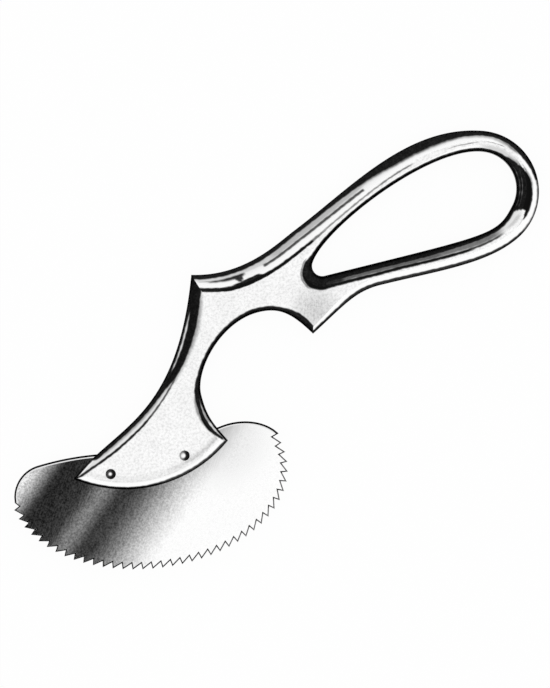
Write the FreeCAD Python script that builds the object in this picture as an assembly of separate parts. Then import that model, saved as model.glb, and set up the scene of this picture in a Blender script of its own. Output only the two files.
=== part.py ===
"""Plaster saw with a loop handle: a forged handle, a toothed blade and the two rivets that hold it.

The saw lies on the flat back of its handle. Z is the thickness, with the back at zero. X runs along the
line of the rivets towards the loop, Y from the teeth towards the loop, and the origin is on the back face,
midway between the rivets. All sizes are in millimetres, all angles in degrees.
"""
import FreeCAD
import Part
import math
import os

# Handle: thickness and the rounding of its rims
handle_thickness = 6.0
edge_radius = 2.4

# Loop opening: a narrow end near the neck and a wide far end, each a circle
narrow_x = 52.07
narrow_y = 36.03
narrow_radius = 2.43
far_x = 93.2
far_y = 44.9
far_radius = 8.88
opening_top_rise = 58.2
opening_top_fall = -29.0
opening_floor_lift = 49.2

# Loop bar: its widths, and where its outside runs over and under the narrow end
upper_web = 8.4
upper_web_slope = 23.0
lower_bar = 5.4
root_reach = 12.3
end_bar = 5.8
end_shift_x = -0.6
end_shift_y = -0.67
crown_slope = -17.95
return_slope = 27.0

# Neck: the crest corner at the top of the neck, and the thumb tip under the root of the loop
crest_x = 21.1
crest_y = 41.6
crest_top_slope = -15.8
crest_side_slope = 70.3
thumb_x = 46.0
thumb_y = 20.8
thumb_top_slope = 28.0
thumb_side_slope = -58.0

# Finger notch: its highest point and its innermost point
notch_top_x = 34.5
notch_top_y = 28.98
notch_side_x = 16.43
notch_side_y = 13.1

# Foot: its two tips and how far its lower edge bows down
front_tip_x = -18.12
front_tip_y = 0.93
front_tip_slope = 38.3
rear_tip_x = 20.0
rear_tip_y = 0.95
rear_tip_slope = -62.0
foot_bow = 6.35

# Blade: thickness, the oval that the tooth tips lie on, and the teeth
blade_thickness = 1.0
tip_oval_x = -0.65
tip_oval_y = -3.4
tip_oval_half_length = 33.5
tip_oval_half_depth = 21.6
tip_oval_tilt = -7.34
first_tip_angle = 189.8
last_tip_angle = 373.1
tooth_pitch = 2.43
tooth_depth = 1.45
tooth_lean = 0.13

# Blade spine: the rounded front end, the hollow under the foot and the rear shoulder
nose_x = -25.44
nose_y = -1.75
nose_radius = 7.87
nose_start_slope = 86.0
nose_end_slope = 3.0
hollow_front_x = -11.93
hollow_front_y = 5.41
hollow_front_slope = -8.8
hollow_rear_x = 19.43
hollow_rear_y = 4.72
hollow_rear_slope = 7.3
heel_x = 32.2
heel_y = -0.4
heel_slope = -57.6
spine_break = 0.3

# Slot in the foot, and the rivets
slot_side_clearance = 0.02
slot_roof_clearance = 0.05
rivet_spacing = 18.2
rivet_shank_radius = 0.9
rivet_head_radius = 1.22
rivet_head_rim = 0.18
rivet_dome_height = 0.46
rivet_tail_radius = 1.3
rivet_tail_depth = 0.6

Vector = FreeCAD.Vector
UP = Vector(0, 0, 1)


def heading(angle):
    """Unit vector that points at an angle from X in the plane of the saw."""
    return Vector(math.cos(math.radians(angle)), math.sin(math.radians(angle)), 0)


def bow(start, start_angle, end, end_angle, start_pull=0.33, end_pull=0.33):
    """Smooth curve between two points with a heading at each; the pulls are shares of the distance."""
    reach = start.distanceToPoint(end)
    curve = Part.BezierCurve()
    curve.setPoles([
        start,
        start + heading(start_angle) * (reach * start_pull),
        end - heading(end_angle) * (reach * end_pull),
        end,
    ])
    return curve.toShape()


def line(start, end):
    """Straight edge."""
    return Part.makeLine(start, end)


def sagged(start, end, sag):
    """Arc between two points that bows by its sag to the right of the way from start to end."""
    along = (end - start).normalize()
    middle = (start + end) * 0.5 + along.cross(UP) * sag
    return Part.Arc(start, middle, end).toShape()


def on_circle(centre, radius, angle, turn):
    """Point of a circle where the way round it heads at an angle; turn 1 is anticlockwise, -1 clockwise."""
    return centre + heading(angle - 90 * turn) * radius


def round_bend(centre, radius, start_angle, end_angle, turn):
    """Arc of a circle between two headings."""
    return Part.Arc(
        on_circle(centre, radius, start_angle, turn),
        on_circle(centre, radius, (start_angle + end_angle) / 2, turn),
        on_circle(centre, radius, end_angle, turn),
    ).toShape()


def slab(edges, bottom, top):
    """Flat plate between two heights, from the edges of its outline in order."""
    face = Part.Face(Part.Wire(edges))
    face.translate(Vector(0, 0, bottom))
    return face.extrude(Vector(0, 0, top - bottom))


def loop_opening():
    """Edges of the teardrop opening: floor, far end, top side and narrow end."""
    narrow = Vector(narrow_x, narrow_y, 0)
    far = Vector(far_x, far_y, 0)
    top_fall = 180 + opening_top_fall
    top_rise = 180 + opening_top_rise
    floor_start = on_circle(narrow, narrow_radius, 0, 1)
    floor_end = on_circle(far, far_radius, opening_floor_lift, 1)
    top_start = on_circle(far, far_radius, top_fall, 1)
    top_end = on_circle(narrow, narrow_radius, top_rise, 1)
    return [
        bow(floor_start, 0, floor_end, opening_floor_lift, 0.86, 0.17),
        round_bend(far, far_radius, opening_floor_lift, top_fall, 1),
        bow(top_start, top_fall, top_end, top_rise, 0.25, 0.18),
        round_bend(narrow, narrow_radius, top_rise, 360, 1),
    ]


def handle_outline():
    """Edges of the handle's outside, clockwise from the crest corner over the loop to the foot and back."""
    narrow = Vector(narrow_x, narrow_y, 0)
    crest = Vector(crest_x, crest_y, 0)
    thumb = Vector(thumb_x, thumb_y, 0)
    rear_tip = Vector(rear_tip_x, rear_tip_y, 0)
    front_tip = Vector(front_tip_x, front_tip_y, 0)
    notch_top = Vector(notch_top_x, notch_top_y, 0)
    notch_side = Vector(notch_side_x, notch_side_y, 0)
    shoulder = narrow + heading(upper_web_slope + 90) * (narrow_radius + upper_web)
    root = narrow + Vector(root_reach, -narrow_radius - lower_bar, 0)
    end_centre = Vector(far_x + end_shift_x, far_y + end_shift_y, 0)
    end_radius = far_radius + end_bar
    end_start = on_circle(end_centre, end_radius, crown_slope, -1)
    end_finish = on_circle(end_centre, end_radius, -180 + return_slope, -1)
    return [
        bow(crest, crest_top_slope, shoulder, upper_web_slope, 0.47, 0.2),
        bow(shoulder, upper_web_slope, end_start, crown_slope, 0.34, 0.355),
        round_bend(end_centre, end_radius, crown_slope, -180 + return_slope, -1),
        bow(end_finish, -180 + return_slope, root, -180, 0.277, 0.405),
        bow(root, -180, thumb, -180 + thumb_top_slope, 0.32, 0.48),
        bow(thumb, 180 + thumb_side_slope, notch_top, 180, 0.5, 0.37),
        bow(notch_top, 180, notch_side, 270, 0.39, 0.25),
        bow(notch_side, 270, rear_tip, 360 + rear_tip_slope, 0.4, 0.45),
        sagged(rear_tip, front_tip, -foot_bow),
        bow(front_tip, front_tip_slope, crest, crest_side_slope, 0.29, 0.62),
    ]


def hollow(lift):
    """The spine's shallow hollow under the foot, raised by a lift."""
    front = Vector(hollow_front_x, hollow_front_y + lift, 0)
    rear = Vector(hollow_rear_x, hollow_rear_y + lift, 0)
    return bow(front, hollow_front_slope, rear, hollow_rear_slope)


def blade_slot():
    """Space that the blade stands in: roofed by the spine's hollow, open below and at both sides."""
    roof = hollow(slot_roof_clearance)
    front = roof.Vertexes[0].Point
    rear = roof.Vertexes[1].Point
    beyond = rear_tip_x - front_tip_x
    below = beyond + foot_bow
    front_out = front - heading(hollow_front_slope) * beyond
    rear_out = rear + heading(hollow_rear_slope) * beyond
    half_slot = blade_thickness / 2 + slot_side_clearance
    outline = [
        line(front_out, front),
        roof,
        line(rear, rear_out),
        line(rear_out, rear_out - Vector(0, below, 0)),
        line(rear_out - Vector(0, below, 0), front_out - Vector(0, below, 0)),
        line(front_out - Vector(0, below, 0), front_out),
    ]
    return slab(outline, handle_thickness / 2 - half_slot, handle_thickness / 2 + half_slot)


def rivet(x, with_head=True):
    """Rivet with a countersunk tail flush with the back and, with its head, a dome on the front face."""
    profile = [
        Vector(0, 0, 0),
        Vector(rivet_tail_radius, 0, 0),
        Vector(rivet_shank_radius, 0, rivet_tail_depth),
        Vector(rivet_shank_radius, 0, handle_thickness),
    ]
    if with_head:
        rim = Vector(rivet_head_radius, 0, handle_thickness + rivet_head_rim)
        crown = Vector(0, 0, handle_thickness + rivet_head_rim + rivet_dome_height)
        dome_radius = (rivet_head_radius ** 2 + rivet_dome_height ** 2) / (2 * rivet_dome_height)
        half_angle = math.asin(min(1, rivet_head_radius / dome_radius)) / 2
        across = dome_radius * math.sin(half_angle)
        down = dome_radius * (1 - math.cos(half_angle))
        profile += [Vector(rivet_head_radius, 0, handle_thickness), rim]
        edges = [line(a, b) for a, b in zip(profile, profile[1:])]
        edges.append(Part.Arc(rim, crown + Vector(across, 0, -down), crown).toShape())
    else:
        crown = Vector(0, 0, handle_thickness)
        edges = [line(a, b) for a, b in zip(profile, profile[1:])]
        edges.append(line(profile[-1], crown))
    edges.append(line(crown, profile[0]))
    solid = Part.Face(Part.Wire(edges)).revolve(Vector(0, 0, 0), UP, 360)
    solid.translate(Vector(x, 0, 0))
    return solid


def rivet_places():
    """The two rivets' places on the X axis, front first."""
    return [-rivet_spacing / 2, rivet_spacing / 2]


def level_edges(solid):
    """Edges of a solid that lie level, all in one height."""
    return [edge for edge in solid.Edges if edge.BoundBox.ZLength < 0.01]


def rounded(plate):
    """The plate with its rims rounded: a flat at 45 degrees, then one on each side of it, all on one circle."""
    thinnest_bar = min(end_bar - math.hypot(end_shift_x, end_shift_y), lower_bar)
    radius = min(edge_radius, 0.49 * thinnest_bar, 0.49 * handle_thickness)
    middle_flat = radius * (2 - math.sqrt(2))
    side_flats = radius * (math.tan(math.pi / 8) - math.tan(math.pi / 16))
    plate = plate.makeChamfer(middle_flat, level_edges(plate))
    return plate.makeChamfer(side_flats, level_edges(plate))


def make_handle():
    """Forged plate with rounded rims, its loop opening, the blade's slot and the rivet holes."""
    plate = slab(handle_outline(), 0, handle_thickness)
    plate = plate.cut(slab(loop_opening(), -1, handle_thickness + 1))
    plate = rounded(plate).cut(blade_slot())
    for x in rivet_places():
        plate = plate.cut(rivet(x, with_head=False))
    return plate


def tooth_points():
    """Corners of the cutting edge from the front to the heel: a steep front flank and a long back each."""
    oval = Part.Ellipse(Vector(0, 0, 0), tip_oval_half_length, tip_oval_half_depth)
    arc = Part.ArcOfEllipse(oval, math.radians(first_tip_angle), math.radians(last_tip_angle)).toShape()
    arc.rotate(Vector(0, 0, 0), UP, tip_oval_tilt)
    arc.translate(Vector(tip_oval_x, tip_oval_y, 0))
    gaps = max(1, round(arc.Length / tooth_pitch))
    tips = arc.discretize(Number=gaps + 1)
    points = []
    before = tips[0] * 2 - tips[1]
    for tip in tips:
        along = (tip - before).normalize()
        gullet = tip - (tip - before) * tooth_lean + UP.cross(along) * tooth_depth
        points += [gullet, tip]
        before = tip
    last_step = tips[-1] - tips[-2]
    along = Vector(last_step).normalize()
    points.append(tips[-1] + last_step * (1 - tooth_lean) + UP.cross(along) * tooth_depth)
    return points


def make_blade():
    """Flat sheet with a toothed lower edge, a rounded nose, a hollowed spine and holes for the rivets."""
    nose = Vector(nose_x, nose_y, 0)
    heel = Vector(heel_x, heel_y, 0)
    hidden = hollow(0)
    hollow_front = hidden.Vertexes[0].Point
    hollow_rear = hidden.Vertexes[1].Point
    nose_start = on_circle(nose, nose_radius, nose_start_slope, -1)
    nose_end = on_circle(nose, nose_radius, nose_end_slope, -1)
    spine = [
        round_bend(nose, nose_radius, nose_start_slope, nose_end_slope, -1),
        bow(nose_end, nose_end_slope, hollow_front, hollow_front_slope),
        hidden,
        bow(hollow_rear, hollow_rear_slope, heel, heel_slope, 0.33, 0.36),
    ]
    corners = [nose_start] + tooth_points() + [heel]
    teeth = [line(a, b) for a, b in zip(corners, corners[1:])]
    bottom = (handle_thickness - blade_thickness) / 2
    top = bottom + blade_thickness
    sheet = slab(spine + teeth[::-1], bottom, top)
    flats = [edge.CenterOfMass for edge in spine]
    spine_edges = [
        edge
        for edge in sheet.Edges
        if any(math.hypot(edge.CenterOfMass.x - p.x, edge.CenterOfMass.y - p.y) < 1e-4 for p in flats)
    ]
    sheet = sheet.makeChamfer(min(spine_break, 0.4 * blade_thickness), spine_edges)
    for x in rivet_places():
        sheet = sheet.cut(rivet(x, with_head=False))
    return sheet


def export(name, solid):
    """Write one piece to its file and print its size."""
    solid.exportStep(os.path.join("parts", name + ".step"))
    box = solid.BoundBox
    size = f"{box.XLength:.2f} x {box.YLength:.2f} x {box.ZLength:.2f}"
    print(name, solid.isValid(), len(solid.Solids), f"{solid.Volume:.1f} mm3", size)


os.makedirs("parts", exist_ok=True)
export("handle", make_handle())
export("blade", make_blade())
export("rivet_front", rivet(rivet_places()[0]))
export("rivet_rear", rivet(rivet_places()[1]))
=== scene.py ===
"""Plaster saw with a loop handle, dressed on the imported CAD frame.

Four pieces: the forged handle with polished rims, the toothed blade and two rivets. Surfaces are worked out
with numpy in millimetres, in the frame of the CAD, and put into the meshes in metres.
"""
import math

import bmesh
import bpy
import numpy as np
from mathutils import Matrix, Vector
from mathutils.geometry import delaunay_2d_cdt


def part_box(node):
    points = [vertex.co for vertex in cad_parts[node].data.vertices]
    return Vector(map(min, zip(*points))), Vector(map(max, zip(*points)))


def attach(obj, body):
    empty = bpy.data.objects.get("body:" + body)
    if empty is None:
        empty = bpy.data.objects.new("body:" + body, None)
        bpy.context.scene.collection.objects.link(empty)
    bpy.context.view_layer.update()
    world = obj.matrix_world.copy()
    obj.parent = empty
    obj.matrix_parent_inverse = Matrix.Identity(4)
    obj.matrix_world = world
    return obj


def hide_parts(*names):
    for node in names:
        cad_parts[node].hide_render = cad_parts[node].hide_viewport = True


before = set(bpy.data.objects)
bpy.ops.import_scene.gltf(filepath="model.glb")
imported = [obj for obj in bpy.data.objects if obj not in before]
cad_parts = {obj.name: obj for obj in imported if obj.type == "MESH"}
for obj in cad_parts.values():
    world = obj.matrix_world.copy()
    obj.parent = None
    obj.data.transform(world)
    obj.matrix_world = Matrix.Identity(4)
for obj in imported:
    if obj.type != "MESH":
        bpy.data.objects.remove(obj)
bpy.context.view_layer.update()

bl_info = {
    "name": "Plaster saw",
    "version": (1, 0, 0),
    "blender": (4, 5, 0),
    "location": "View3D > Sidebar > Plaster saw",
    "description": "Makes the handle, blade and rivets of a plaster saw and the studio it lies in",
    "category": "Add Mesh",
}

MM = 0.001

# Numbers of the materials on a piece: satin or ground faces, polished edges, sawn walls
FACE, RIM, WALL = 0, 1, 2

# Metres under which points are welded, and under which an edge is dissolved
WELD, SLIVER = 2e-6, 1e-7

# The picture: how far the saw is turned in it, in degrees, then in millimetres the point of the plan that it was
# drawn over, the level of the saw's middle, the height over it and the length there that fits the picture's height
PICTURE_TURN = 14.06
VIEW_CENTRE, VIEW_LEVEL, VIEW_HEIGHT, VIEW_SPAN = (36.55, 20.63), 3.0, 825.6, 165.12

# Main points of the saw in millimetres, and headings in degrees
NARROW, NARROW_RADIUS = (52.07, 36.03), 2.43
FAR, FAR_RADIUS = (93.2, 44.9), 8.88
CREST, THUMB = (21.1, 41.6), (46.0, 20.8)
SHOULDER_WAY, UPPER_WEB = 23.0, 8.4
ROOT = (NARROW[0] + 12.3, NARROW[1] - NARROW_RADIUS - 5.4)
END, END_RADIUS = (FAR[0] - 0.6, FAR[1] - 0.67), FAR_RADIUS + 5.79
NOTCH_TOP, NOTCH_SIDE = (34.5, 28.98), (16.43, 13.1)
FRONT_TIP, REAR_TIP, FOOT_BOW = (-18.12, 0.93), (20.0, 0.95), 6.35
HOLLOW_FRONT, HOLLOW_FRONT_WAY = (-11.93, 5.41), -8.8
HOLLOW_REAR, HOLLOW_REAR_WAY = (19.43, 4.72), 7.3
NOSE, NOSE_RADIUS, HEEL = (-25.44, -1.75), 7.87, (32.2, -0.4)

# The oval that the teeth stand on: half lengths, centre, tilt and the angles it starts and ends at
OVAL_HALVES, OVAL_CENTRE, OVAL_TILT, OVAL_ENDS = (33.5, 21.6), (-0.65, -3.4), -7.34, (189.8, 373.1)

# Rivets: centres, holes and countersinks, then the rivets' own shanks and tails
RIVETS = [(-9.1, 0.0), (9.1, 0.0)]
HOLE_RADIUS, SINK_RADIUS, SINK_DEPTH, HOLE_SIDES = 0.92, 1.32, 0.6, 48
SHANK_RADIUS, TAIL_RADIUS, HEAD_RIM = 0.9, 1.3, 0.18

# Room over the blade's spine in its slot
SLOT_ROOM = 0.05

# Shares of a dark edge's painted darkness, a painted reflection, that its outermost row and the upright wall under
# it keep, and the darkness from which a painted streak goes on into the flat face
KEPT_AT_EDGE, KEPT_ON_WALL, GOES_ON = 0.6, 0.1, 0.5

# Middles in metres of the painted shade at the root of the loop, along the foot and at the blade's heel
ROOT_SHADE, FOOT_RING, HEEL_SHADE = (0.0481, 0.0264, 0.003), (0.00094, 0.02637, 0.003), (0.0178, 0.0035, 0.0035)


# Curves in the plane of the saw: each gives points and unit headings

def heading(angle):
    """Unit vector (cos a, sin a) of an angle in degrees."""
    turn = np.radians(angle)
    return np.stack([np.cos(turn), np.sin(turn)], axis=-1)


def on_circle(centre, radius, angle, turn):
    """Point of a circle where the way round it has a heading: the centre plus the radius times the unit vector
    at the heading less a right angle times the turn."""
    return np.array(centre, float) + heading(angle - 90 * turn) * radius


def bow(start, start_angle, end, end_angle, start_pull=0.33, end_pull=0.33, count=500):
    """Cubic curve (1-u)^3 a + 3(1-u)^2 u b + 3(1-u) u^2 c + u^3 d, with b and c pulled along the end headings."""
    a, d = np.array(start, float), np.array(end, float)
    reach = np.linalg.norm(d - a)
    b = a + heading(start_angle) * reach * start_pull
    c = d - heading(end_angle) * reach * end_pull
    u = np.linspace(0, 1, count)[:, None]
    points = (1 - u) ** 3 * a + 3 * (1 - u) ** 2 * u * b + 3 * (1 - u) * u ** 2 * c + u ** 3 * d
    along = (1 - u) ** 2 * (b - a) + 2 * (1 - u) * u * (c - b) + u ** 2 * (d - c)
    return points, along / np.linalg.norm(along, axis=1, keepdims=True)


def bend(centre, radius, start_angle, end_angle, turn, count=300):
    """Arc: the points of a circle for even steps of the heading from start to end."""
    angle = np.linspace(start_angle, end_angle, count)
    return on_circle(centre, radius, angle, turn), heading(angle)


def sagged(start, end, sag, count=500):
    """Arc between two points that bows by its sag to the right of its way; negative bows to the left."""
    a, b = np.array(start, float), np.array(end, float)
    chord = np.linalg.norm(b - a)
    half = 2 * math.degrees(math.atan(2 * abs(sag) / chord))
    radius = chord / 2 / math.sin(math.radians(half))
    turn = 1 if sag > 0 else -1
    way = math.degrees(math.atan2(*(b - a)[::-1]))
    first = way - turn * half
    centre = a - heading(first - 90 * turn) * radius
    return bend(centre, radius, first, first + 2 * half * turn, turn, count)


class Path:
    """Joined curves with a place for every length along them; the metal lies to the right of the way."""

    def __init__(self, curves):
        points = np.concatenate([curve[0] for curve in curves])
        headings = np.concatenate([curve[1] for curve in curves])
        steps = np.linalg.norm(np.diff(points, axis=0), axis=1)
        keep = np.concatenate([[True], steps > 1e-9])
        self.points, self.headings = points[keep], headings[keep]
        steps = np.linalg.norm(np.diff(self.points, axis=0), axis=1)
        self.reach = np.concatenate([[0], np.cumsum(steps)])
        self.length = self.reach[-1]

    def at(self, place):
        """Points and unit normals into the metal at lengths along the path."""
        point = np.stack([np.interp(place, self.reach, self.points[:, i]) for i in (0, 1)], axis=-1)
        way = np.stack([np.interp(place, self.reach, self.headings[:, i]) for i in (0, 1)], axis=-1)
        way /= np.linalg.norm(way, axis=-1, keepdims=True)
        return point, np.stack([way[..., 1], -way[..., 0]], axis=-1)

    def places(self, first, last, spacing, turn_step=4.0):
        """Lengths from first to last, a spacing apart or less, closer where the path turns by a step in degrees."""
        angle = np.unwrap(np.arctan2(self.headings[:, 1], self.headings[:, 0]))
        turned = np.concatenate([[0], np.cumsum(np.abs(np.diff(angle)))])
        measure = self.reach / spacing + np.degrees(turned) / turn_step
        ends = np.interp([first, last], self.reach, measure)
        count = max(2, int(round(ends[1] - ends[0])) + 1)
        return np.interp(np.linspace(ends[0], ends[1], count), measure, self.reach)


def hollow(lift=0.0, count=160):
    """The blade's spine under the foot, raised by a lift."""
    front = (HOLLOW_FRONT[0], HOLLOW_FRONT[1] + lift)
    rear = (HOLLOW_REAR[0], HOLLOW_REAR[1] + lift)
    return bow(front, HOLLOW_FRONT_WAY, rear, HOLLOW_REAR_WAY, count=count)


def handle_paths():
    """The handle's outline as four stretches between its corners, and the loop opening."""
    crown_way, under_way = -17.95, -153.0
    crown = on_circle(END, END_RADIUS, crown_way, -1)
    under = on_circle(END, END_RADIUS, under_way, -1)
    shoulder = np.array(NARROW) + heading(SHOULDER_WAY + 90) * (NARROW_RADIUS + UPPER_WEB)
    loop = Path([
        bow(CREST, -15.8, shoulder, SHOULDER_WAY, 0.47, 0.2),
        bow(shoulder, SHOULDER_WAY, crown, crown_way, 0.34, 0.355),
        bend(END, END_RADIUS, crown_way, under_way, -1),
        bow(under, under_way, ROOT, -180, 0.277, 0.405),
        bow(ROOT, -180, THUMB, -152.0, 0.32, 0.48),
    ])
    notch = Path([
        bow(THUMB, 122.0, NOTCH_TOP, 180, 0.5, 0.37),
        bow(NOTCH_TOP, 180, NOTCH_SIDE, 270, 0.39, 0.25),
        bow(NOTCH_SIDE, 270, REAR_TIP, 298.0, 0.4, 0.45),
    ])
    foot = Path([sagged(REAR_TIP, FRONT_TIP, -FOOT_BOW)])
    neck = Path([bow(FRONT_TIP, 38.3, CREST, 70.3, 0.29, 0.62)])
    floor_way, top_way, narrow_way = 49.2, 151.0, 238.2
    opening = Path([
        bow(on_circle(NARROW, NARROW_RADIUS, 0, 1), 0, on_circle(FAR, FAR_RADIUS, floor_way, 1), floor_way,
            0.86, 0.17),
        bend(FAR, FAR_RADIUS, floor_way, top_way, 1),
        bow(on_circle(FAR, FAR_RADIUS, top_way, 1), top_way, on_circle(NARROW, NARROW_RADIUS, narrow_way, 1),
            narrow_way, 0.25, 0.18),
        bend(NARROW, NARROW_RADIUS, narrow_way, 360.0, 1),
    ])
    return {"loop": loop, "notch": notch, "foot": foot, "neck": neck, "opening": opening}


# Widths in millimetres at shares of each stretch: of the rounded rim, then of all that is drawn along the edge
RIM_WIDTHS = {
    "loop": [(0, 4.3), (0.17, 4.3), (0.3, 3.9), (0.4, 3.5), (0.48, 2.4), (0.54, 2.1), (0.85, 2.0), (0.92, 1.8),
             (1, 1.2)],
    "notch": [(0, 1.2), (0.1, 1.4), (0.3, 1.0), (0.65, 1.0), (0.8, 1.5), (1, 1.5)],
    "foot": [(0, 1.6), (0.1, 1.7), (0.9, 1.7), (1, 1.6)],
    "neck": [(0, 1.6), (0.1, 2.0), (0.5, 2.3), (0.62, 2.9), (0.8, 3.2), (1, 3.2)],
    "opening": [(0, 2.6), (0.1, 2.4), (0.36, 2.4), (0.44, 2.3), (0.5, 1.9), (0.56, 1.3), (0.66, 1.0), (0.88, 1.0),
                (0.93, 1.3), (0.965, 2.4), (1, 2.6)],
}
BAND_WIDTHS = {
    "loop": [(0, 5.2), (0.17, 5.2), (0.21, 4.7), (0.36, 4.6), (0.4, 4.2), (0.44, 3.6), (0.48, 2.7), (0.52, 2.4),
             (0.62, 2.4), (0.68, 2.05), (0.88, 2.05), (0.93, 2.0), (1, 1.4)],
    "notch": [(0, 1.6), (0.1, 2.0), (0.2, 1.5), (0.65, 1.4), (0.78, 2.7), (0.92, 2.7), (1, 2.0)],
    "foot": [(0, 2.1), (1, 2.1)],
    "neck": [(0, 2.0), (0.1, 2.9), (0.5, 3.0), (0.6, 3.9), (0.72, 4.4), (1, 4.4)],
    "opening": [(0, 3.9), (0.03, 3.6), (0.07, 3.3), (0.1, 3.25), (0.36, 3.25), (0.4, 3.2), (0.44, 2.7), (0.48, 2.3),
                (0.52, 2.2), (0.56, 1.6), (0.62, 1.3), (0.68, 1.1), (0.88, 1.15), (0.92, 1.6), (0.96, 3.6),
                (0.98, 4.3), (1, 3.9)],
}
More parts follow.
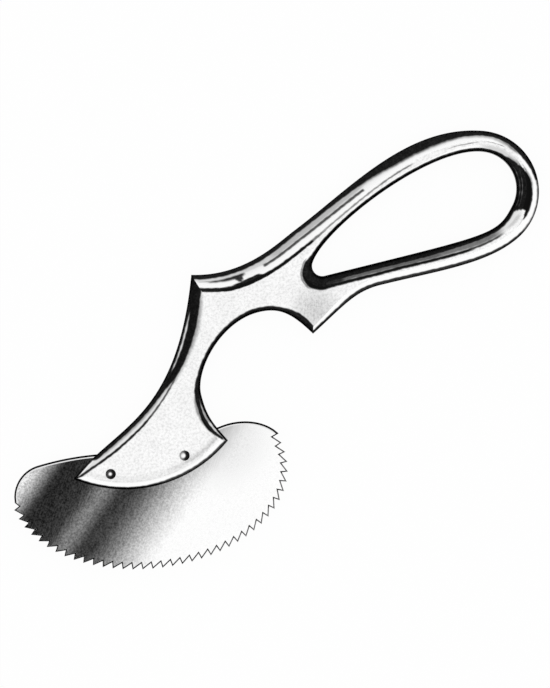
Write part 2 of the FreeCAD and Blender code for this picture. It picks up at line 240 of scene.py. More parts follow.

# Painted reflections along the edges, as dark streaks: darkness, softness of the near side, the far side and the
# ends in millimetres, then stations of (share of the stretch, near side, far side). The sides are millimetres from
# the edge as they look in the picture, where higher places lean outwards from the point it was drawn over. A near
# side of -1 starts outside the edge, and a far side of 9 ends beyond all that is drawn along it
PAINTED_STREAKS = {
    "loop": [
        (0.93, 0.1, 0.18, 0.5, [(-0.01, -1, 1.12), (0.1, -1, 1.12), (0.16, -1, 0.97), (0.22, -1, 1.07),
            (0.27, -1, 1.4), (0.3, -1, 1.7), (0.32, -1, 2.05), (0.335, -1, 2.25), (0.38, -1, 2.2), (0.41, -1, 1.9),
            (0.44, -1, 1.42), (0.47, -1, 1.15), (0.5, -1, 1.07), (0.54, -1, 1.22), (0.56, -1, 0.92),
            (0.585, -1, 0.5)]),
        (0.62, 0.3, 0.34, 3.0, [(0.25, 0.8, 1.3), (0.29, 0.9, 1.8), (0.32, 1.2, 2.3), (0.335, 1.4, 2.55),
            (0.38, 1.4, 2.5), (0.41, 1.2, 2.15), (0.45, 0.8, 1.5)]),
        (0.64, 0.1, 0.2, 0.8, [(0.57, -1, 0.52), (0.6, -1, 0.4), (0.63, -1, 0.36), (0.67, -1, 0.52)]),
        (0.84, 0.1, 0.16, 2.5, [(0.65, -1, 0.5), (0.72, -1, 0.71), (0.76, -1, 0.84), (0.92, -1, 0.86),
            (0.95, -1, 0.66), (1.01, -1, 0.61)]),
        (0.24, 0.3, 0.5, 3.0, [(0.24, 0.5, 1.5), (0.29, 0.8, 2.0), (0.33, 1.4, 2.6), (0.39, 1.5, 2.6),
            (0.43, 1, 2)]),
        (0.12, 0.2, 0.25, 1.5, [(-0.01, 0.5, 1.6), (0.06, 0.5, 1.7), (0.1, 0.5, 2.2), (0.14, 0.5, 2.2)]),
        (0.5, 0.2, 0.25, 2.0, [(0.495, 0.6, 1.2), (0.522, 0.6, 1.7), (0.54, 0.6, 1.3)]),
        (0.22, 0.2, 0.3, 4.0, [(0.1, 0.5, 2.2), (0.2, 0.5, 2.2), (0.27, 0.8, 2.2), (0.29, 1.2, 1.9)]),
        (0.3, 0.2, 0.35, 1.5, [(0.43, 1.2, 1.8), (0.48, 0.9, 1.5), (0.52, 0.9, 1.8), (0.54, 0.9, 1.4)]),
        (0.74, 0.16, 0.18, 0.5, [(0.098, 2.2, 2.8), (0.2, 2.25, 2.85), (0.276, 2.45, 3.05)]),
        (0.4, 0.14, 0.18, 1.5, [(0.004, 1.6, 1.65), (0.03, 1.7, 1.95), (0.06, 1.65, 2.1)]),
        (0.88, 0.2, 0.3, 1.2, [(0.02, 1.85, 2.0), (0.045, 1.8, 2.35), (0.062, 1.75, 2.6), (0.075, 1.75, 2.2)]),
        (0.84, 0.12, 0.3, 0.35, [(0.058, 2.2, 2.5), (0.064, 2.2, 3.8), (0.069, 2.2, 2.9)]),
        (0.95, 0.14, 0.14, 0.4, [(-0.01, 2.65, 3.55), (0.01, 3.1, 4.0), (0.03, 3.5, 4.45), (0.05, 3.9, 4.95),
            (0.06, 3.65, 5.0), (0.07, 3.5, 5.05), (0.088, 3.5, 5.05), (0.093, 4.1, 5.05), (0.1, 4.25, 5.05),
            (0.15, 4.35, 5.05), (0.175, 4.4, 4.95)]),
        (0.5, 0.14, 0.14, 4.0, [(0.15, 4.3, 5.0), (0.19, 4.25, 4.8), (0.21, 4.2, 4.55)]),
        (0.4, 0.14, 0.14, 2.0, [(0.19, 4.2, 4.6), (0.25, 4.05, 4.45), (0.34, 4.0, 4.35)]),
        (0.5, 0.14, 0.14, 2.0, [(0.29, 4.05, 4.4), (0.36, 3.95, 4.3)]),
        (0.42, 0.14, 0.14, 2.0, [(0.41, 3.8, 4.05), (0.45, 3.0, 3.3), (0.485, 2.35, 2.6), (0.515, 1.95, 2.18)]),
        (0.97, 0.2, 0.2, 0.5, [(0.548, 2.9, 9), (0.56, 2.4, 9), (0.567, 2.0, 9), (0.58, 1.6, 9), (0.6, 1.48, 9),
            (0.62, 1.48, 9), (0.627, 1.5, 3.7), (0.632, 1.55, 2.7), (0.639, 1.6, 2.25), (0.65, 1.75, 1.95)]),
        (0.42, 0.3, 0.3, 1.0, [(0.53, 2.7, 9), (0.548, 2.35, 9), (0.56, 1.95, 9), (0.567, 1.65, 9), (0.58, 1.35, 9),
            (0.6, 1.35, 9)]),
        (0.2, 0.2, 0.4, 2.0, [(0.625, 1.8, 3.0), (0.67, 2.0, 2.6)]),
    ],
    "notch": [
        (0.93, 0.1, 0.2, 1.5, [(-0.02, -1, 1.32), (0.02, -1, 1.42), (0.06, -1, 1.62), (0.1, -1, 1.67),
            (0.14, -1, 1.32), (0.18, -1, 1.07), (0.3, -1, 1.1), (0.4, -1, 0.98), (0.6, -1, 0.94), (0.68, -1, 1.04),
            (0.72, -1, 1.32), (0.8, -1, 1.32)]),
        (0.9, 0.1, 0.16, 1.0, [(0.74, -1, 0.92), (0.79, -1, 0.74), (0.85, -1, 0.6), (0.95, -1, 0.52),
            (1.02, -1, 0.57)]),
        (0.95, 0.16, 0.2, 1.0, [(0.7, 0.5, 1.1), (0.74, 0.6, 1.5), (0.78, 0.7, 1.7), (0.82, 0.9, 1.8),
            (0.86, 1.0, 2.05), (0.9, 1.0, 2.15), (0.93, 0.9, 1.75), (0.96, 0.7, 1.25), (0.99, 0.2, 0.8)]),
        (0.38, 0.2, 0.3, 1.5, [(0.72, 0.3, 0.6), (0.77, 0.3, 1.9), (0.82, 0.3, 2.4), (0.87, 0.4, 2.35),
            (0.9, 0.6, 2.2)]),
    ],
    "foot": [
        (0.78, 0.1, 0.2, 1.5, [(-0.02, -1, 0.7), (0.1, -1, 0.7), (0.4, -1, 0.72), (0.5, -1, 0.62),
            (0.6, -1, 0.52)]),
        (0.92, 0.1, 0.2, 1.5, [(0.45, -1, 0.6), (0.6, -1, 0.5), (1.02, -1, 0.46)]),
        (0.09, 0.4, 0.3, 3.0, [(0.12, 1.5, 1.8), (0.4, 1.6, 1.85), (0.9, 1.65, 1.85)]),
    ],
    "neck": [
        (0.7, 0.1, 0.14, 0.5, [(-0.02, -1, 0.42), (0.12, -1, 0.42)]),
        (0.93, 0.1, 0.2, 0.8, [(0.105, -1, 0.42), (0.125, -1, 0.87), (0.14, -1, 1.02), (0.2, -1, 1.07),
            (0.35, -1, 1.04), (0.44, -1, 1.1), (0.5, -1, 1.27), (0.54, -1, 1.52), (0.57, -1, 1.72),
            (0.59, -1, 1.02), (0.605, -1, 0.68), (0.8, -1, 0.62), (0.85, -1, 0.92), (0.88, -1, 2.7),
            (1.02, -1, 2.85)]),
        (0.4, 0.2, 0.45, 3.0, [(0.13, 0.8, 1.25), (0.5, 0.8, 1.35), (0.56, 0.8, 1.8)]),
        (0.88, 0.16, 0.16, 2.0, [(-0.02, 0.0, 0.3), (0.01, 0.3, 0.75), (0.03, 0.55, 1.1), (0.06, 1.0, 1.55),
            (0.1, 1.45, 2.0), (0.14, 1.8, 2.35), (0.18, 2.0, 2.6), (0.22, 2.15, 2.7), (0.36, 2.1, 2.6),
            (0.43, 2.0, 2.4)]),
        (0.7, 0.16, 0.18, 2.0, [(0.36, 2.05, 2.5), (0.43, 1.98, 2.42), (0.5, 1.95, 2.35), (0.57, 2.0, 2.4),
            (0.6, 2.1, 2.5)]),
        (0.97, 0.2, 0.26, 2.4, [(0.5, 0.6, 1.2), (0.55, 0.6, 1.85), (0.58, 0.7, 2.3), (0.62, 0.9, 2.6),
            (0.66, 1.0, 2.8), (0.7, 1.08, 2.95), (0.78, 1.08, 3.12), (0.84, 0.9, 3.05), (0.87, 0.4, 2.95),
            (0.9, -0.5, 2.85), (0.94, -1, 2.8), (1.05, -1, 2.8)]),
        (0.34, 0.3, 0.6, 3.0, [(0.5, 1.2, 1.8), (0.58, 1.5, 2.6), (0.65, 1.5, 3.1), (0.72, 1.5, 3.5),
            (0.78, 1.5, 3.8), (0.85, 1.5, 3.6), (0.95, 1.5, 3.1)]),
    ],
    "opening": [
        (0.95, 0.1, 0.22, 0.5, [(-0.01, -1, 1.87), (0.05, -1, 1.62), (0.1, -1, 1.57), (0.2, -1, 1.62),
            (0.27, -1, 1.32), (0.33, -1, 1.17), (0.38, -1, 1.07), (0.4, -1, 0.95), (0.43, -1, 0.88),
            (0.48, -1, 0.88), (0.505, -1, 1.0), (0.53, -1, 0.84), (0.6, -1, 0.72), (0.85, -1, 0.76),
            (0.9, -1, 0.86), (0.945, -1, 0.95), (0.955, -1, 1.42), (0.965, -1, 2.12), (0.975, -1, 3.0),
            (0.985, -1, 3.55), (1.0, -1, 3.14), (1.01, -1, 3.1)]),
        (0.95, 0.2, 0.22, 0.5, [(0.38, 0.2, 0.9), (0.393, 0.5, 1.1), (0.4, 0.66, 1.7), (0.408, 0.78, 1.55),
            (0.43, 0.83, 1.45), (0.455, 0.83, 1.6), (0.472, 0.78, 2.0), (0.48, 0.7, 2.07), (0.49, 0.5, 1.62),
            (0.505, 0.3, 1.08), (0.53, 0.1, 0.84)]),
        (0.95, 0.2, 0.26, 0.5, [(0.395, 1.2, 1.6), (0.4, 1.3, 1.82), (0.404, 1.38, 2.72), (0.408, 1.42, 9),
            (0.43, 1.4, 9), (0.455, 1.52, 9), (0.463, 1.55, 3.22), (0.472, 1.7, 2.52), (0.48, 1.8, 2.07)]),
        (0.34, 0.3, 0.4, 1.0, [(0.45, 2.0, 5.2), (0.463, 2.0, 3.7), (0.472, 2.0, 3.0), (0.49, 1.2, 2.1),
            (0.505, 0.8, 1.6)]),
        (0.85, 0.2, 0.2, 3.5, [(-0.04, 1.5, 2.4), (0.055, 1.4, 2.3)]),
        (0.62, 0.2, 0.2, 3.0, [(-0.01, 0.8, 2.3), (0.15, 0.8, 2.2), (0.25, 0.8, 2.4)]),
        (0.54, 0.2, 0.3, 4.0, [(0.2, 0.8, 2.3), (0.3, 0.6, 2.3), (0.365, 0.5, 2.0)]),
        (0.17, 0.3, 0.5, 2.0, [(0.355, 1.7, 2.3), (0.38, 2.0, 2.8), (0.402, 2.3, 3.3)]),
        (0.93, 0.2, 0.22, 2.0, [(-0.02, 1.95, 3.2), (0.0, 2.05, 3.14), (0.03, 2.2, 3.05), (0.1, 2.25, 3.0),
            (0.15, 2.1, 2.9), (0.2, 2.3, 3.0), (0.25, 2.35, 3.05), (0.3, 2.4, 2.95)]),
        (0.72, 0.16, 0.16, 2.5, [(0.27, 2.3, 2.9), (0.31, 2.2, 2.75), (0.36, 2.0, 2.5)]),
        (0.18, 0.3, 0.4, 3.0, [(0.46, 1.6, 3.2), (0.49, 1.2, 2.3), (0.52, 0.8, 2.0), (0.56, 0.8, 1.5)]),
        (0.42, 0.12, 0.12, 0.5, [(0.953, 1.5, 1.75), (0.965, 2.1, 2.5), (0.975, 3.1, 3.5), (0.987, 3.75, 4.05)]),
    ],
}

# How far the borders of the streaks waver and the lengths of the waves, in millimetres
RAGGED, WAVES = 0.024, (1.5, 2.3, 4.3)


def smooth(low, high, value):
    """Smooth step 3t^2 - 2t^3 of t, the value's share of the way from low to high."""
    t = np.clip((value - low) / (high - low), 0, 1)
    return t * t * (3 - 2 * t)


def darkness(stretch, length, share, across):
    """Darkest painted streak, a painted reflection, at each point: a smooth step in from its near side times one
    out over its far side.
    """
    dark = np.zeros(np.broadcast(share, across).shape)
    for depth, near_soft, far_soft, end_soft, stations in PAINTED_STREAKS[stretch]:
        place, near, far = np.array(stations, float).T
        ragged = sum(np.sin(2 * np.pi * share * length / wave + wave) for wave in WAVES) * RAGGED
        low = np.interp(share, place, near) + ragged
        high = np.interp(share, place, far) + np.roll(ragged, 3, axis=0)
        band = smooth(-near_soft, near_soft, across - low) * smooth(-far_soft, far_soft, high - across)
        end = end_soft / length
        band = band * smooth(0, end, share - place[0]) * smooth(0, end, place[-1] - share)
        dark = np.maximum(dark, depth * band)
    return dark


# Meshes

class Shell:
    """Points, faces, finishes and two values a point, gathered part by part and welded at the end."""

    def __init__(self):
        self.points, self.faces, self.values, self.finishes = [], [], [], []
        self.count = 0

    def add(self, points, faces, finish, values=None):
        """One part: points in millimetres, faces by their own numbers, one finish or one a face, and values."""
        points = np.asarray(points, float)
        self.points.append(points)
        self.values.append(np.zeros((len(points), 2)) if values is None else np.asarray(values, float))
        self.faces += [tuple(int(i) + self.count for i in face) for face in faces]
        self.finishes += [finish] * len(faces) if isinstance(finish, int) else list(finish)
        self.count += len(points)

    def build(self, name, materials, sharp):
        """The mesh object: parts welded, borders over the sharp angle in degrees kept crisp."""
        mesh = bpy.data.meshes.new(name)
        mesh.from_pydata((np.concatenate(self.points) * MM).tolist(), [], self.faces)
        corners = np.empty(len(mesh.loops), np.int32)
        mesh.loops.foreach_get("vertex_index", corners)
        layer = mesh.uv_layers.new(name="finish")
        layer.data.foreach_set("uv", np.concatenate(self.values)[corners].astype(np.float32).ravel())
        for material in materials:
            mesh.materials.append(material)
        mesh.polygons.foreach_set("material_index", np.array(self.finishes, np.int32))
        work = bmesh.new()
        work.from_mesh(mesh)
        bmesh.ops.remove_doubles(work, verts=work.verts, dist=WELD)
        bmesh.ops.dissolve_degenerate(work, dist=SLIVER, edges=work.edges)
        work.to_mesh(mesh)
        open_edges = sum(1 for edge in work.edges if len(edge.link_faces) != 2)
        print(name, "faces", len(work.faces), "edges not on two faces", open_edges)
        work.free()
        mesh.shade_smooth()
        mesh.set_sharp_from_angle(angle=math.radians(sharp))
        mesh.update()
        piece = bpy.data.objects.new(name, mesh)
        bpy.context.scene.collection.objects.link(piece)
        return piece


def turning(ring):
    """Twice the signed area of a ring: positive when it runs anticlockwise."""
    following = np.roll(ring, -1, axis=0)
    return float(np.sum(ring[:, 0] * following[:, 1] - ring[:, 1] * following[:, 0]))


def fill(rings, height, upward):
    """Triangles of a flat region at a height, with the painted darkness of its points, a ring's third column."""
    rings = [np.pad(ring, ((0, 0), (0, 3 - ring.shape[1]))) for ring in rings]
    rings = [ring if turning(ring) > 0 else ring[::-1] for ring in rings]
    flat = np.concatenate(rings)
    starts = np.cumsum([0] + [len(ring) for ring in rings])
    loops = [list(range(a, b)) for a, b in zip(starts, starts[1:])]
    found = delaunay_2d_cdt([Vector(p) for p in flat[:, :2]], [], loops, 2, 1e-9)
    points = np.array([[p[0], p[1], height] for p in found[0]])
    values = np.array([[flat[owners[0], 2] if owners else 0.0, 1.0] for owners in found[3]])
    faces = np.array(found[2])
    corners = points[faces]
    first, second = corners[:, 1] - corners[:, 0], corners[:, 2] - corners[:, 0]
    up = first[:, 0] * second[:, 1] - first[:, 1] * second[:, 0] > 0
    turned = up != upward
    faces[turned] = faces[turned][:, ::-1]
    return points, faces.tolist(), values


def strip(rows, closed, reverse):
    """Quads between rows of points of one length; returns the points and faces."""
    rows = np.asarray(rows, float)
    tall, wide = rows.shape[:2]
    number = np.arange(tall * wide).reshape(tall, wide)
    if closed:
        number = np.concatenate([number, number[:, :1]], axis=1)
    quads = np.stack([number[:-1, :-1], number[:-1, 1:], number[1:, 1:], number[1:, :-1]], axis=-1)
    quads = quads.reshape(-1, 4)
    return rows.reshape(-1, 3), (quads[:, ::-1] if reverse else quads).tolist()


def lifted(flat, height):
    """Points of the plane at a height."""
    return np.concatenate([flat, np.full((*flat.shape[:-1], 1), float(height))], axis=-1)


def circle_points(centre, radius, sides):
    """Points of a circle: its centre plus the radius times (cos a, sin a) at even angles."""
    angle = np.linspace(0, 2 * math.pi, sides, endpoint=False)
    return np.array(centre) + np.stack([np.cos(angle), np.sin(angle)], axis=-1) * radius


def ring_wall(centre, radii, heights, sides=HOLE_SIDES):
    """Turned wall round a centre: one ring of points for each radius and height."""
    rows = [lifted(circle_points(centre, radius, sides), height) for radius, height in zip(radii, heights)]
    return strip(rows, True, False)


def holes(radius):
    """The rings of the rivets' holes at a radius."""
    return [circle_points(centre, radius, HOLE_SIDES) for centre in RIVETS]


def levels(node_name):
    """Lowest and highest level of a CAD node in millimetres."""
    return [corner.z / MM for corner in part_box(node_name)]


# Property groups

def metres(name, description, default):
    """A length in metres."""
    return bpy.props.FloatProperty(name=name, description=description, default=default, unit="LENGTH",
                                   subtype="DISTANCE")


def grey(name, description, level):
    """A colour that starts as a grey of a level."""
    return bpy.props.FloatVectorProperty(name=name, description=description, default=(level, level, level),
                                         subtype="COLOR", size=3)


class PLASTERSAW_PG_handle(bpy.types.PropertyGroup):
    """Sizes of the handle."""
    rim_depth: metres("Rim depth", "How far down the rounding of a rim reaches", 0.0023)
    rim_turn: bpy.props.FloatProperty(name="Rim turn", description="Angle the rim turns through from its side",
                                      default=math.radians(66), subtype="ANGLE")
    rim_rows: bpy.props.IntProperty(name="Rim rows", description="Faces across one rim", default=24, min=4)
    flat_rows: bpy.props.IntProperty(name="Flat rows", description="Faces across the flat band inside a rim",
                                     default=8, min=2)
    spacing: metres("Spacing", "Longest step along an edge", 0.0005)
    slot_height: metres("Slot", "Height of the blade's slot", 0.00104)


class PLASTERSAW_PG_blade(bpy.types.PropertyGroup):
    """Sizes of the blade."""
    tooth_pitch: metres("Tooth pitch", "Distance from tip to tip", 0.00243)
    tooth_depth: metres("Tooth depth", "Depth of the gullets", 0.00145)
    tooth_break: metres("Tooth bevel", "Bevel along the teeth", 0.00029)
    spine_break: metres("Spine bevel", "Bevel along the spine", 0.00045)
    # The bright line along the spine is a painted highlight
    spine_shine: metres("Spine shine", "Reach of the bright line along the spine", 0.00072)


class PLASTERSAW_PG_rivets(bpy.types.PropertyGroup):
    """Sizes of the rivets."""
    head_radius: metres("Head radius", "Radius of the domed head", 0.00122)
    dome_height: metres("Dome height", "Height of the dome over its rim", 0.00046)
    sides: bpy.props.IntProperty(name="Sides", description="Steps round a rivet", default=64, min=12)


class PLASTERSAW_PG_finish(bpy.types.PropertyGroup):
    """Colours of the metal."""
    face: grey("Face", "Satin faces of the handle", 1.0)
    # Shade: colour of the cloudy patches and of the painted shade on the satin faces
    shade: grey("Shade", "Duller places of the satin faces", 0.45)
    rim: grey("Rim", "Polished rims, blade and rivet heads", 0.995)
    # Dark: colour of the painted reflections and painted shade on rims, blade edges and rivets
    dark: grey("Dark", "Dark streaks and unpolished edges", 0.005)


class PLASTERSAW_PG_stage(bpy.types.PropertyGroup):
    """Camera, floor and light."""
    lens: bpy.props.FloatProperty(name="Lens", description="Focal length in millimetres", default=180.0, min=1.0)
    floor: grey("Floor", "Colour of the floor", 0.9)
    light: bpy.props.FloatProperty(name="Light", description="Level of the studio's light", default=1.0, min=0.0)


# Shader helpers

def feed(made, inputs):
    """Gives a node's inputs their values, or links them from the outputs of other nodes."""
    for key, value in inputs.items():
        value = getattr(value, "socket", value)
        if isinstance(value, bpy.types.NodeSocket):
            made.id_data.links.new(value, made.inputs[key])
        else:
            made.inputs[key].default_value = value


def node(tree, kind, inputs=None, **facts):
    """A node with its settings and its inputs."""
    made = tree.nodes.new(kind)
    for name, value in facts.items():
        setattr(made, name, value)
    feed(made, inputs or {})
    return made


class Measure:
    """A number that changes over a surface: a node's output that takes part in sums as a plain number does."""

    def __init__(self, socket):
        self.socket, self.tree = socket, socket.id_data

    def sum(self, operation, first, second):
        """Result of a Math node."""
        return Measure(node(self.tree, "ShaderNodeMath", {0: first, 1: second}, operation=operation).outputs[0])

    def __add__(self, other):
        return self.sum("ADD", self, other)

    def __sub__(self, other):
        return self.sum("SUBTRACT", self, other)

    def __rsub__(self, other):
        return self.sum("SUBTRACT", other, self)

    def __mul__(self, other):
        return self.sum("MULTIPLY", self, other)

    def __truediv__(self, other):
        return self.sum("DIVIDE", self, other)

    def __rtruediv__(self, other):
        return self.sum("DIVIDE", other, self)

    def __pow__(self, other):
        return self.sum("POWER", self, other)

    def at_least(self, low):
        """The greater of the number and a lowest one."""
        return self.sum("MAXIMUM", self, low)

    def held(self):
        """The number held between 0 and 1 by its own node."""
        self.socket.node.use_clamp = True
        return self


def new_material(name):
    """A material with its Principled BSDF; returns both."""
    material = bpy.data.materials.new(name)
    material.use_nodes = True
    return material, material.node_tree.nodes["Principled BSDF"]


def blend(share, first, second):
    """Colour mixed from first to second by a share."""
    made = node(share.tree, "ShaderNodeMix", {0: share}, data_type="RGBA")
    for key, value in ((6, first), (7, second)):
        feed(made, {key: value if isinstance(value, bpy.types.NodeSocket) else (*value[:3], 1)})
    return made.outputs[2]


def ramp(value, low, high):
    """Smooth share of the value's way from low to high."""
    return Measure(node(value.tree, "ShaderNodeMapRange", {"Value": value, "From Min": low, "From Max": high},
                        interpolation_type="SMOOTHSTEP").outputs[0])


def rotated(place, angle):
    """Position turned about the upright axis by an angle."""
    return node(place.id_data, "ShaderNodeVectorRotate", {"Vector": place, "Axis": (0, 0, 1), "Angle": angle},
                rotation_type="AXIS_ANGLE").outputs[0]


def parts(place):
    """The three numbers of a position."""
    return [Measure(part) for part in node(place.id_data, "ShaderNodeSeparateXYZ", {0: place}).outputs]


def distance(place, point):
    """Metres from a point."""
    return Measure(node(place.id_data, "ShaderNodeVectorMath", {0: place, 1: point},
                        operation="DISTANCE").outputs["Value"])


def position(shader):
    """Object coordinates."""
    return node(shader.id_data, "ShaderNodeTexCoord").outputs["Object"]


def darkness_value(shader):
    """The piece's painted darkness, its painted reflections and shade, from its UV map."""
    return parts(node(shader.id_data, "ShaderNodeUVMap", uv_map="finish").outputs[0])[0]


def darkened(dark, pale, deep):
    """Colour from pale to deep by a darkness as the eye sees it: pale's share is (1 - darkness)^2.2."""
    return blend((1.0 - dark).held() ** 2.2, deep, pale)


def scratched(height, strength):
    """Normal bumped by a height, 0.02 mm from its lowest to its highest."""
    return node(height.tree, "ShaderNodeBump", {"Strength": strength, "Distance": 2e-5,
                                                "Height": height}).outputs[0]


# Shared effects: inputs besides the position, the noise's detail and roughness, and the ends of its ramp
EFFECTS = {
    "cloudy patches": (("Size",), 3.0, 0.6, 0.35, 0.68),
    "polishing strokes": (("Size", "Angle"), 4.0, 0.7, 0.32, 0.7),
    "fine grain": (("Size",), 2.0, 0.7, 0.28, 0.72),
}


def effect_group(name):
    """Group: noise of a size as a mask, from a position. Where it has an angle, the noise is drawn out to 14
    times its size along it, as straight strokes."""
    inputs, detail, roughness, low, high = EFFECTS[name]
    tree = bpy.data.node_groups.new(name, "ShaderNodeTree")
    tree.interface.new_socket("Position", in_out="INPUT", socket_type="NodeSocketVector")
    for key in inputs:
        tree.interface.new_socket(key, in_out="INPUT", socket_type="NodeSocketFloat")
    tree.interface.new_socket("Mask", in_out="OUTPUT", socket_type="NodeSocketFloat")
    inside = node(tree, "NodeGroupInput").outputs
    place, scale = inside["Position"], 1.0 / Measure(inside["Size"])
    if "Angle" in inputs:
        turned = rotated(place, Measure(inside["Angle"]) * -1.0)
        along = scale / 14.0
        stretch = node(tree, "ShaderNodeCombineXYZ", {0: along, 1: scale, 2: along}).outputs[0]
        place = node(tree, "ShaderNodeVectorMath", {0: turned, 1: stretch}, operation="MULTIPLY").outputs[0]
        scale = 1.0
    noise = node(tree, "ShaderNodeTexNoise", {"Vector": place, "Scale": scale, "Detail": detail,
                                              "Roughness": roughness})
    node(tree, "NodeGroupOutput", {0: ramp(Measure(noise.outputs[0]), low, high)})
    return tree


def effect(name, place, **values):
    """A shared effect placed in a material with its own values; returns its mask."""
    group = bpy.data.node_groups.get(name) or effect_group(name)
    return Measure(node(place.id_data, "ShaderNodeGroup", {"Position": place, **values},
                        node_tree=group).outputs[0])


# Materials

def satin_plate(finish):
    """Satin face of the handle: cloudy, with painted shade at the root of the loop, fine upright strokes, a faint
    painted shade line along the foot, and the rims' painted dark streaks where they go on into it."""
    material, shader = new_material("satin plate")
    place = position(shader)
    x, y, _ = parts(place)
    clouds = effect("cloudy patches", place, Size=0.0035)
    strokes = effect("polishing strokes", place, Size=0.0002, Angle=math.radians(90 - PICTURE_TURN))
    grain = effect("fine grain", place, Size=0.0006)
    # Painted shade at the root of the loop, streaked by the strokes
    root = ramp(distance(place, ROOT_SHADE), 0.0086, 0.001) * (strokes * 0.5 + 0.5)
    # Painted shade line along the foot, in a ring just inside its rim
    away = distance(place, FOOT_RING)
    line = ramp(away, 0.0283, 0.0294) * ramp(away, 0.0301, 0.0295) * (ramp(x, 0.002, 0.012) + 0.5)
    line = line * ramp(y, 0.012, 0.006)
    speckle = (grain - 0.3).at_least(0.0)
    # Cloudy tone and grain speckle, together with the painted shade
    tone_and_shade = (clouds * 0.07 + root * 0.8 + line * 0.33 + speckle * 0.5).held()
    plain = blend(tone_and_shade, finish.face, finish.shade)
    # The base colour also takes the painted dark streaks from the UV map
    feed(shader, {"Base Color": darkened(darkness_value(shader), plain, finish.dark),
                  "Roughness": clouds * 0.08 + 0.34, "Metallic": 1.0, "Normal": scratched(strokes, 0.12)})
    return material


def polished_rim(finish):
    """Mirror polished rim with painted reflections: dark streaks from its UV map, mottled a little."""
    material, shader = new_material("polished rim")
    dark, place = darkness_value(shader), position(shader)
    # Random mottle that lightens the painted streaks a little
    streak_mottle = effect("cloudy patches", place, Size=0.0012) * 0.04 + effect("fine grain", place, Size=0.0005) * 0.08
    feed(shader, {"Base Color": darkened((dark * (1.0 - streak_mottle)).held(), finish.rim, finish.dark),
                  "Roughness": dark * 0.15 + 0.1, "Metallic": 1.0, "Specular Tint": (0.2, 0.2, 0.2, 1.0)})
    return material


def sawn_wall():
    """Sawn walls of the slot and the rivet holes."""
    material, shader = new_material("sawn wall")
    strokes = effect("polishing strokes", position(shader), Size=0.0001, Angle=0.0)
    feed(shader, {"Base Color": blend(strokes, (0.3, 0.3, 0.3), (0.12, 0.12, 0.12)), "Metallic": 1.0,
                  "Roughness": 0.45})
    return material


def ground_blade(finish):
    """Ground sheet of the blade: fine slanting strokes, a painted reflection that is dark towards the nose with one
    lighter sweep, speckled, and painted shade near the heel. All of the painted reflection follows one measure:
    millimetres along a slanting line, wavering with the strokes."""
    material, shader = new_material("ground blade")
    place = position(shader)
    strokes = effect("polishing strokes", place, Size=0.00025, Angle=math.radians(56))
    grain = effect("fine grain", place, Size=0.00048)
    # Painted reflection: light towards the heel, dark towards the nose, with a lighter sweep between
    along = parts(rotated(place, math.radians(49.06)))[0] * 1000.0 + (strokes - 0.5) * 0.9
    light = ramp(along, -1.0, 16.8) ** 1.28
    tip = ramp(along, -15.7, -23.5) ** 1.3 * 0.85
    painted_sweep = ramp(along, -9.1, -5.3) * ramp(along, -1.3, -5.3)
    painted_lift = ramp(along, -14.5, -7.0)
    level = (light + tip + painted_sweep * 0.168 + (painted_lift * 0.022 + 0.021)).held()
    dim = 1.0 - light * 0.84
    rough = (grain * 0.7 + strokes * 0.2 - 0.45) * dim + 1.0
    speckle = (grain * 0.5 + strokes * 0.5 - 0.42) * (dim * 0.04)
    level = ((level * rough).held() + speckle).at_least(0.004)
    # Painted shade near the heel
    painted_heel_shade = ramp(distance(place, HEEL_SHADE), 0.017, 0.001) * 0.2 * (grain * 1.2 + 0.4)
    level = (level - painted_heel_shade * level).held()
    feed(shader, {"Base Color": blend(level, (0.0, 0.0, 0.0), finish.rim), "Metallic": 1.0, "Roughness": 0.24,
                  "Normal": scratched(strokes, 0.1)})
    return material


def rivet_metal(finish):
    """Polished rivet, with a painted shade ring and a painted highlight on its head from its UV map, and faint
    strokes.
    """
    material, shader = new_material("rivet metal")
    strokes = effect("polishing strokes", position(shader), Size=0.00015, Angle=0.6)
    dark = (darkness_value(shader) - strokes * 0.06).held()
    feed(shader, {"Base Color": darkened(dark, finish.rim, finish.dark), "Metallic": 1.0, "Roughness": 0.2})
    return material


# Handle

def rim_profile(turn, rows, flat_rows):
    """Rows across an edge and their drop: (1 - cos a)/(1 - cos A) and 1 - sin a/sin A up to 1 over the rounded
    rim, at steps that share out angle and width alike, then even steps from 1 to 2 over the flat band."""
    angle = np.linspace(0, turn, 600)
    out = (1 - np.cos(angle)) / (1 - math.cos(turn))
    angle = np.interp(np.linspace(0, 1, rows + 1), 0.4 * angle / turn + 0.6 * out, angle)
    out = (1 - np.cos(angle)) / (1 - math.cos(turn))
    down = 1 - np.sin(angle) / math.sin(turn)
    return (np.concatenate([out, 1 + np.linspace(0, 1, flat_rows + 1)[1:]]),
            np.concatenate([down, np.zeros(flat_rows)]))


def width_at(table, stretch, share):
    """Width in plan at shares of a stretch, eased between its stations."""
    place, width = np.array(table[stretch], float).T
    number = np.clip(np.searchsorted(place, share, side="right") - 1, 0, len(place) - 2)
    ease = smooth(place[number], place[number + 1], share)
    return width[number] + (width[number + 1] - width[number]) * ease


def reach_in(stretch, share, across):
    """Millimetres in from the edge of a row: the rim's width up to 1, on to the band's width at 2."""
    rim, band = width_at(RIM_WIDTHS, stretch, share), width_at(BAND_WIDTHS, stretch, share)
    return rim * np.minimum(across, 1) + (band - rim) * np.maximum(across - 1, 0)


def inset(paths, stretch, place, across):
    """Points that lie in from a stretch: its point plus its normal times the row's distance from the edge."""
    point, normal = paths[stretch].at(place)
    return point + normal * reach_in(stretch, place / paths[stretch].length, across)[..., None]


